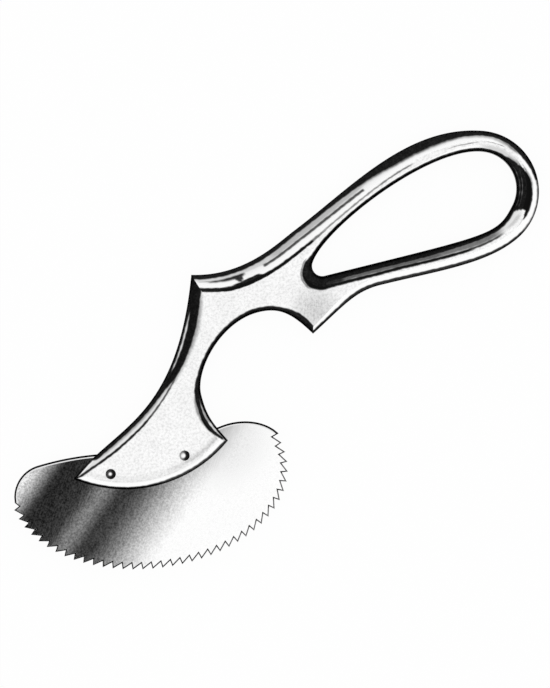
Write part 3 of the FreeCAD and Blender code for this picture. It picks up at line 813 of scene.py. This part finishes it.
def mitre(paths, before, after, across):
    """Lengths at which the rims of two stretches meet, for each share across, by repeated straight steps."""
    end = paths[before].length
    back, on = np.zeros(len(across)), np.zeros(len(across))
    way_in, way_out = paths[before].headings[-1], paths[after].headings[0]
    solve = np.linalg.inv(np.stack([-way_in, -way_out], axis=1))
    for _ in range(60):
        gap = inset(paths, before, end - back, across) - inset(paths, after, on, across)
        step = gap @ solve.T
        back, on = np.maximum(back - step[:, 0], 0), np.maximum(on - step[:, 1], 0)
    return end - back, on


def slot_places(paths):
    """Where the slot's roof, drawn on straight at both ends, crosses the neck and the notch near the foot, and the
    roof's points from the neck to the notch."""
    roof = hollow(SLOT_ROOM, 400)[0]
    on = np.linspace(0.1, 20, 60)[:, None]
    roof = np.concatenate([roof[0] - heading(HOLLOW_FRONT_WAY) * on[::-1], roof,
                           roof[-1] + heading(HOLLOW_REAR_WAY) * on])

    def crossing(path, first, last):
        """Length between first and last at which a path goes through the roof."""
        place = np.linspace(first, last, 4000)
        point, _ = path.at(place)
        over = point[:, 1] - np.interp(point[:, 0], roof[:, 0], roof[:, 1])
        spot = np.flatnonzero(np.diff(np.sign(over)))[0]
        share = over[spot] / (over[spot] - over[spot + 1])
        return place[spot] + share * (place[spot + 1] - place[spot])

    neck, notch = paths["neck"], paths["notch"]
    on_neck, on_notch = crossing(neck, 0, 25), crossing(notch, notch.length - 12, notch.length)
    left, right = neck.at(on_neck)[0], notch.at(on_notch)[0]
    across = np.linspace(left[0], right[0], 90)
    line = np.stack([across, np.interp(across, roof[:, 0], roof[:, 1])], axis=-1)
    line[0], line[-1] = left, right
    return on_neck, on_notch, line


def rim_faces(limit, rows, rim_rows, closed):
    """Faces over the places of a stretch, with their finishes. Each place has rows up to its limit, and where
    the limit goes up or down by one the last face is a triangle."""
    number = np.arange(len(limit) * (rows + 1)).reshape(len(limit), rows + 1)
    if closed:
        number, limit = np.concatenate([number, number[:1]]), np.append(limit, limit[0])
    a, b, c, d = number[:-1, :-1], number[1:, :-1], number[1:, 1:], number[:-1, 1:]
    row = np.arange(rows)[None, :]
    first, last = limit[:-1, None], limit[1:, None]
    faces, finishes = [], []
    finish = np.broadcast_to(np.where(row < rim_rows, RIM, FACE), a.shape)
    for corners, used in (((a, d, c, b), (row < first) & (row < last)),
                          ((a, c, b), (row == first) & (row < last)),
                          ((a, d, b), (row < first) & (row == last))):
        faces += np.stack(corners, axis=-1)[used].tolist()
        finishes += finish[used].tolist()
    return faces, finishes


def handle_shell(sizes, thickness):
    """The whole handle: rims carried along each stretch and mitred at its corners, faces, slot and holes."""
    paths = handle_paths()
    across, down = rim_profile(sizes.rim_turn, sizes.rim_rows, sizes.flat_rows)
    rows, depth, spacing = sizes.rim_rows + sizes.flat_rows, sizes.rim_depth / MM, sizes.spacing / MM
    heights = thickness - depth * down
    kept = KEPT_AT_EDGE + (1 - KEPT_AT_EDGE) * smooth(0, 0.02, across)
    slot_top, slot_bottom = (thickness / 2 + side * sizes.slot_height / MM / 2 for side in (1, -1))
    on_neck, on_notch, roof = slot_places(paths)
    order = ["loop", "notch", "foot", "neck"]
    corners = {name: mitre(paths, name, order[(i + 1) % 4], across) for i, name in enumerate(order)}
    shell = Shell()
    inner, slot_edge = [], {}
    for i, name in enumerate(order + ["opening"]):
        path, closed = paths[name], name == "opening"
        if closed:
            place = path.places(0, path.length, spacing)[:-1]
            limit = np.full(len(place), rows)
        else:
            start, stop = corners[order[i - 1]][1], corners[name][0]
            middle = path.places(start[-1], stop[-1], spacing)[1:-1]
            cut = {"neck": on_neck, "notch": on_notch}.get(name)
            if cut is not None:
                middle = np.sort(np.append(middle[np.abs(middle - cut) > 0.05], cut))
            place = np.concatenate([start, middle, stop[::-1]])
            count = np.arange(len(place))
            limit = np.minimum(rows, np.minimum(count, count[::-1]))

        # The rim and the flat band over the front, and the same turned over for the back
        share = place[:, None] / path.length
        flat = inset(paths, name, place[:, None] + 0 * across, across[None, :] + 0 * place[:, None])
        # Darkness of the painted reflections at each point of the rim and the flat band
        outward = np.sum(path.at(place)[1][:, None] * (flat - VIEW_CENTRE), axis=-1)
        seen = outward * (heights - thickness / 2) / VIEW_HEIGHT + reach_in(name, share, across[None, :])
        dark = darkness(name, path.length, share, seen)
        dark[:, -1] *= dark[:, -1] > GOES_ON
        values = np.stack([dark * kept, np.broadcast_to(across, dark.shape)], axis=-1).reshape(-1, 2)
        faces, finishes = rim_faces(limit, rows, sizes.rim_rows, closed)
        level = np.broadcast_to(heights[None, :, None], (*flat.shape[:2], 1))
        top = np.concatenate([flat, level], axis=-1).reshape(-1, 3)
        shell.add(top, faces, finishes, values)
        shell.add(top * [1, 1, -1] + [0, 0, thickness], [face[::-1] for face in faces], finishes, values)

        # The upright wall in three bands, of which the slot opens the middle one
        edge, edge_dark = flat[:, 0], dark[:, 0]
        if closed:
            edge, edge_dark = np.concatenate([edge, edge[:1]]), np.append(edge_dark, edge_dark[0])
        # The walls carry shares of the edge's painted darkness
        edge_values = [np.stack([edge_dark * part, np.zeros(len(edge))], axis=-1)
                       for part in (KEPT_AT_EDGE, KEPT_ON_WALL)]
        between = (place[:-1] + place[1:]) / 2
        slotted = {"foot": between >= 0, "neck": between < on_neck, "notch": between > on_notch}.get(
            name, np.zeros(len(edge) - 1, bool))
        bands = [thickness - depth, slot_top, slot_bottom, depth]
        for k, (high, low) in enumerate(zip(bands, bands[1:])):
            wall, quads = strip([lifted(edge, high), lifted(edge, low)], False, False)
            if k == 1:
                quads = [quad for quad, is_open in zip(quads, slotted) if not is_open]
            shell.add(wall, quads, RIM, np.concatenate([edge_values[k > 0], edge_values[k < 2]]))
        # The flat face's border carries the painted darkness that goes on into the face
        ring = np.concatenate([flat[:, rows], dark[:, rows:]], axis=-1)
        inner.append(ring if closed else ring[rows:len(place) - rows])
        if slotted.any():
            slot_edge[name] = edge[np.append(slotted, False) | np.insert(slotted, 0, False)]

    outside = np.concatenate([ring[:-1] for ring in inner[:4]])
    for radius, height, upward in ((HOLE_RADIUS, thickness, True), (SINK_RADIUS, 0.0, False)):
        points, faces, values = fill([outside, inner[4]] + holes(radius), height, upward)
        shell.add(points, faces, FACE, values)
    mouth = np.concatenate([slot_edge["notch"][:-1], slot_edge["foot"][:-1], slot_edge["neck"], roof[1:-1]])
    for height, upward in ((slot_top, False), (slot_bottom, True)):
        shell.add(*fill([mouth] + holes(HOLE_RADIUS), height, upward)[:2], WALL)
    shell.add(*strip([lifted(roof, slot_top), lifted(roof, slot_bottom)], False, True), WALL)
    for centre in RIVETS:
        shell.add(*ring_wall(centre, [HOLE_RADIUS, HOLE_RADIUS], [thickness, slot_top]), WALL)
        shell.add(*ring_wall(centre, [HOLE_RADIUS, HOLE_RADIUS, SINK_RADIUS], [slot_bottom, SINK_DEPTH, 0.0]), WALL)
    return shell


class PLASTERSAW_OT_handle(bpy.types.Operator):
    """Make the forged handle with its polished rims"""
    bl_idname = "plastersaw.handle"
    bl_label = "Handle"

    def execute(self, context):
        low, high = levels("handle")
        finish = context.scene.plastersaw_finish
        shell = handle_shell(context.scene.plastersaw_handle, high - low)
        piece = shell.build("forged_handle", [satin_plate(finish), polished_rim(finish), sawn_wall()], 10)
        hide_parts("handle")
        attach(piece, "root")
        return {"FINISHED"}


# Blade

def tooth_corners(pitch, depth):
    """Cutting edge from the nose to the heel: tips at equal steps along a tilted oval, gullets set in from it
    a little before each tip, and one more gullet after the last."""
    lean = 0.13
    tilt = math.radians(OVAL_TILT)
    spin = np.array([[math.cos(tilt), math.sin(tilt)], [-math.sin(tilt), math.cos(tilt)]])
    oval = (heading(np.linspace(*OVAL_ENDS, 6000)) * OVAL_HALVES) @ spin + OVAL_CENTRE
    reach = np.concatenate([[0], np.cumsum(np.linalg.norm(np.diff(oval, axis=0), axis=1))])
    places = np.linspace(0, reach[-1], round(reach[-1] / pitch) + 1)
    tips = np.stack([np.interp(places, reach, oval[:, i]) for i in (0, 1)], axis=-1)
    before = np.concatenate([[2 * tips[0] - tips[1]], tips[:-1]])
    step = tips - before
    along = step / np.linalg.norm(step, axis=1, keepdims=True)
    inward = np.stack([-along[:, 1], along[:, 0]], axis=-1)
    gullets = tips - step * lean + inward * depth
    corners = np.stack([gullets, tips], axis=1).reshape(-1, 2)
    last = tips[-1] + step[-1] * (1 - lean) + inward[-1] * depth
    return np.concatenate([corners, [last]])


def blade_outline(sizes):
    """The blade's outline anticlockwise: teeth from nose to heel, then the spine back, with a longer first and
    last step that leave room for the bevels; and which of its edges are spine."""
    nose_way, long_step = 3.0, 1.2
    spine = Path([
        bend(NOSE, NOSE_RADIUS, 86.0, nose_way, -1),
        bow(on_circle(NOSE, NOSE_RADIUS, nose_way, -1), nose_way, HOLLOW_FRONT, HOLLOW_FRONT_WAY),
        hollow(),
        bow(HOLLOW_REAR, HOLLOW_REAR_WAY, HEEL, -57.6, 0.33, 0.36),
    ])
    place = spine.places(0, spine.length, 0.5, 3.0)
    place = place[(place > long_step) & (place < spine.length - long_step)]
    back = spine.at(np.concatenate([[0], place, [spine.length]]))[0][::-1]
    teeth = tooth_corners(sizes.tooth_pitch / MM, sizes.tooth_depth / MM)
    is_spine = np.concatenate([np.zeros(len(teeth), bool), np.ones(len(back) - 1, bool), [False]])
    return np.concatenate([teeth, back]), is_spine


def offset_ring(ring, widths):
    """A ring moved in by a width for each edge: each corner goes to where its two moved edges cross."""
    along = np.roll(ring, -1, axis=0) - ring
    along /= np.linalg.norm(along, axis=1, keepdims=True)
    inward = np.stack([-along[:, 1], along[:, 0]], axis=-1)
    pair = np.stack([np.roll(inward, 1, axis=0), inward], axis=1)
    aim = np.stack([np.roll(widths, 1), widths], axis=-1)
    flat = np.abs(np.linalg.det(pair)) < 1e-3
    pair[flat] = np.stack([inward[flat], along[flat]], axis=1)
    aim[flat] = np.stack([widths[flat], np.zeros(flat.sum())], axis=-1)
    return ring + np.linalg.solve(pair, aim[..., None])[..., 0]


class PLASTERSAW_OT_blade(bpy.types.Operator):
    """Make the toothed blade with its bevelled edges"""
    bl_idname = "plastersaw.blade"
    bl_label = "Blade"

    def execute(self, context):
        sizes, finish = context.scene.plastersaw_blade, context.scene.plastersaw_finish
        low, high = levels("blade")
        ring, is_spine = blade_outline(sizes)
        widths = np.where(is_spine, sizes.spine_break, sizes.tooth_break) / MM
        bevel = np.maximum(widths, np.roll(widths, 1))[:, None]
        edge = offset_ring(ring, widths)
        inner = offset_ring(ring, np.where(is_spine, sizes.spine_shine, sizes.tooth_break * 1.02) / MM)

        # Bevels and narrow side: a painted dark outline of painted shade, a little paler along the teeth towards
        # the heel
        points, quads = strip([
            lifted(edge, low),
            np.concatenate([ring, low + bevel], axis=1),
            np.concatenate([ring, high - bevel], axis=1),
            lifted(edge, high),
        ], True, False)
        values = np.zeros((len(points), 2))
        values[:, 0] = 1 - 0.35 * np.tile(~is_spine, 4) * smooth(-8, 20, points[:, 0])
        shell = Shell()
        shell.add(points, quads, RIM, values)

        # Painted highlight line inside them, then the ground faces and the walls of the holes, painted dark as
        # shade
        shine = np.full((2 * len(ring), 2), 0.1)
        for outer, within, height in ((inner, edge, low), (edge, inner, high)):
            shell.add(*strip([lifted(outer, height), lifted(within, height)], True, False), RIM, shine)
        for height, upward in ((high, True), (low, False)):
            shell.add(*fill([inner] + holes(HOLE_RADIUS), height, upward)[:2], FACE)
        for centre in RIVETS:
            points, quads = ring_wall(centre, [HOLE_RADIUS, HOLE_RADIUS], [high, low])
            shell.add(points, quads, RIM, np.ones((len(points), 2)))
        rim = bpy.data.materials.get("polished rim") or polished_rim(finish)
        piece = shell.build("saw_blade", [ground_blade(finish), rim], 14)
        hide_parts("blade")
        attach(piece, "root")
        return {"FINISHED"}


# Rivets

# Each rivet's painted highlight, a bright spot: its direction in the picture, its distance from the middle and its
# reach in millimetres, and the darkness of the painted shade ring on the spot's side
PAINTED_SPOTS = {"rivet_front": (165, 0.1, 0.45, 0.76), "rivet_rear": (175, 0.3, 0.6, 0.4)}

# Darkness of the painted shade ring away from the spot, and of the painted shade on the shank and on the tail
PAINTED_RING_DARK, PAINTED_SHANK_SHADE, PAINTED_TAIL_SHADE = 0.94, 0.25, 0.12


class PLASTERSAW_OT_rivets(bpy.types.Operator):
    """Make the two rivets with their domed heads"""
    bl_idname = "plastersaw.rivets"
    bl_label = "Rivets"

    def execute(self, context):
        sizes = context.scene.plastersaw_rivets
        back, front = levels("handle")
        head, dome, sides = sizes.head_radius / MM, sizes.dome_height / MM, sizes.sides

        # Profile from the tail to the crown: the dome is the cap of a ball, R = (r^2 + h^2) / 2h
        ball = (head ** 2 + dome ** 2) / (2 * dome)
        swing = np.linspace(math.asin(head / ball), 0, 12)[1:-1]
        crown = front + HEAD_RIM + dome
        profile = [(TAIL_RADIUS, back), (SHANK_RADIUS, SINK_DEPTH), (SHANK_RADIUS, front), (head - 0.02, front),
                   (head, front + 0.03), (head, front + HEAD_RIM)]
        dome = np.stack([ball * np.sin(swing), crown - ball + ball * np.cos(swing)], axis=-1)
        radii, heights = np.concatenate([profile, dome]).T
        fan = [(0, 1 + i, 1 + (i + 1) % sides) for i in range(sides)]
        material = rivet_metal(context.scene.plastersaw_finish)
        for (node_name, (way, shift, bright, pale)), centre in zip(PAINTED_SPOTS.items(), RIVETS):
            points, quads = ring_wall(centre, radii, heights, sides)
            # Painted highlight and shade: a dark ring round the head, paler on the lit side and clear in the bright
            # spot, and a darker shank
            local = points[:, :2] - centre
            side = heading(way - PICTURE_TURN)
            far = np.linalg.norm(local - side * shift, axis=1)
            lit = local @ side / np.maximum(np.linalg.norm(local, axis=1), 0.01)
            dark = PAINTED_RING_DARK - (PAINTED_RING_DARK - pale) * smooth(-0.6, 0.9, lit)
            dark *= smooth(bright - 0.3, bright + 0.22, far)
            dark *= points[:, 2] > front + 0.01
            dark += PAINTED_SHANK_SHADE * (points[:, 2] < front)
            values = np.stack([dark, np.zeros(len(points))], axis=-1)
            shell = Shell()
            shell.add(points, quads, FACE, values)
            shell.add([[*centre, crown], *points[-sides:]], fan, FACE,
                      np.concatenate([[[0, 0]], values[-sides:]]))
            shell.add([[*centre, back], *points[:sides]], [face[::-1] for face in fan], FACE,
                      np.full((sides + 1, 2), PAINTED_TAIL_SHADE))
            piece = shell.build(node_name + "_polished", [material], 30)
            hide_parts(node_name)
            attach(piece, "root")
        return {"FINISHED"}


# Studio

def white_to_camera(surface, share):
    """Surface mixed with plain white emission by a share, on camera, glossy and transmission rays only."""
    tree = surface.id_data
    rays = node(tree, "ShaderNodeLightPath").outputs
    seen = (Measure(rays["Is Camera Ray"]) + rays["Is Glossy Ray"]).held()
    seen = (seen + rays["Is Transmission Ray"]).held()
    white = node(tree, "ShaderNodeEmission", {"Color": (1, 1, 1, 1), "Strength": 1.0})
    return node(tree, "ShaderNodeMixShader", {0: seen * share, 1: surface, 2: white.outputs[0]}).outputs[0]


class PLASTERSAW_OT_studio(bpy.types.Operator):
    """Make the floor, the light and the camera"""
    bl_idname = "plastersaw.studio"
    bl_label = "Studio"

    def execute(self, context):
        scene = context.scene
        stage = scene.plastersaw_stage

        # A square floor just under the saw's back
        mesh = bpy.data.meshes.new("floor")
        side, level, whiteness = 4.0, -2e-5, 0.955
        mesh.from_pydata([(-side, -side, level), (side, -side, level), (side, side, level), (-side, side, level)],
                         [], [(0, 1, 2, 3)])
        floor = bpy.data.objects.new("floor", mesh)
        scene.collection.objects.link(floor)
        material, shader = new_material("pale floor")
        feed(shader, {"Base Color": (*stage.floor, 1), "Roughness": 0.9, "Specular IOR Level": 0.1})
        feed(material.node_tree.nodes["Material Output"],
             {"Surface": white_to_camera(shader.outputs[0], whiteness)})
        mesh.materials.append(material)

        # An even bright world, a little dimmer towards the upper left of the picture
        world = bpy.data.worlds.new("studio")
        scene.world = world
        world.use_nodes = True
        tree = world.node_tree
        way = node(tree, "ShaderNodeTexCoord").outputs["Generated"]
        side_on = node(tree, "ShaderNodeVectorMath", {0: way, 1: (*heading(140 - PICTURE_TURN), 0.0)},
                       operation="DOT_PRODUCT")
        shade = ramp(Measure(side_on.outputs["Value"]), 0.2, 0.9)
        feed(tree.nodes["Background"], {"Color": blend(shade, (1.0, 1.0, 1.0), (0.75, 0.75, 0.75)),
                                        "Strength": stage.light})

        # The camera over the picture's middle, as high as its lens asks for
        camera = bpy.data.cameras.new("camera")
        camera.lens = stage.lens
        camera.clip_start, camera.clip_end = 0.01, 20.0
        seat = bpy.data.objects.new("camera", camera)
        scene.collection.objects.link(seat)
        height = VIEW_SPAN * MM / camera.sensor_width * stage.lens
        seat.location = (VIEW_CENTRE[0] * MM, VIEW_CENTRE[1] * MM, VIEW_LEVEL * MM + height)
        seat.rotation_euler = (0, 0, math.radians(-PICTURE_TURN))
        scene.camera = seat
        scene.view_settings.view_transform = "Standard"
        return {"FINISHED"}


class PLASTERSAW_PT_panel(bpy.types.Panel):
    """Sizes and steps of the plaster saw"""
    bl_label = "Plaster saw"
    bl_idname = "PLASTERSAW_PT_panel"
    bl_space_type = "VIEW_3D"
    bl_region_type = "UI"
    bl_category = "Plaster saw"

    def draw(self, context):
        for group, operator in (("handle", "handle"), ("blade", "blade"), ("rivets", "rivets"),
                                ("finish", None), ("stage", "studio")):
            box = self.layout.box()
            sizes = getattr(context.scene, "plastersaw_" + group)
            for key in sizes.__annotations__:
                box.prop(sizes, key)
            if operator:
                box.operator("plastersaw." + operator)


SIZES = {
    "plastersaw_handle": PLASTERSAW_PG_handle,
    "plastersaw_blade": PLASTERSAW_PG_blade,
    "plastersaw_rivets": PLASTERSAW_PG_rivets,
    "plastersaw_finish": PLASTERSAW_PG_finish,
    "plastersaw_stage": PLASTERSAW_PG_stage,
}
CLASSES = (
    *SIZES.values(),
    PLASTERSAW_OT_handle, PLASTERSAW_OT_blade, PLASTERSAW_OT_rivets, PLASTERSAW_OT_studio, PLASTERSAW_PT_panel,
)


def register():
    """Registers the classes and hangs the sizes on the scene."""
    for kind in CLASSES:
        bpy.utils.register_class(kind)
    for name, kind in SIZES.items():
        setattr(bpy.types.Scene, name, bpy.props.PointerProperty(type=kind))


def unregister():
    """Takes the sizes and classes off again."""
    for name in SIZES:
        delattr(bpy.types.Scene, name)
    for kind in reversed(CLASSES):
        bpy.utils.unregister_class(kind)


def main():
    register()
    bpy.ops.plastersaw.handle()
    bpy.ops.plastersaw.blade()
    bpy.ops.plastersaw.rivets()
    bpy.ops.plastersaw.studio()
    bpy.context.view_layer.update()


if __name__ == "__main__":
    main()
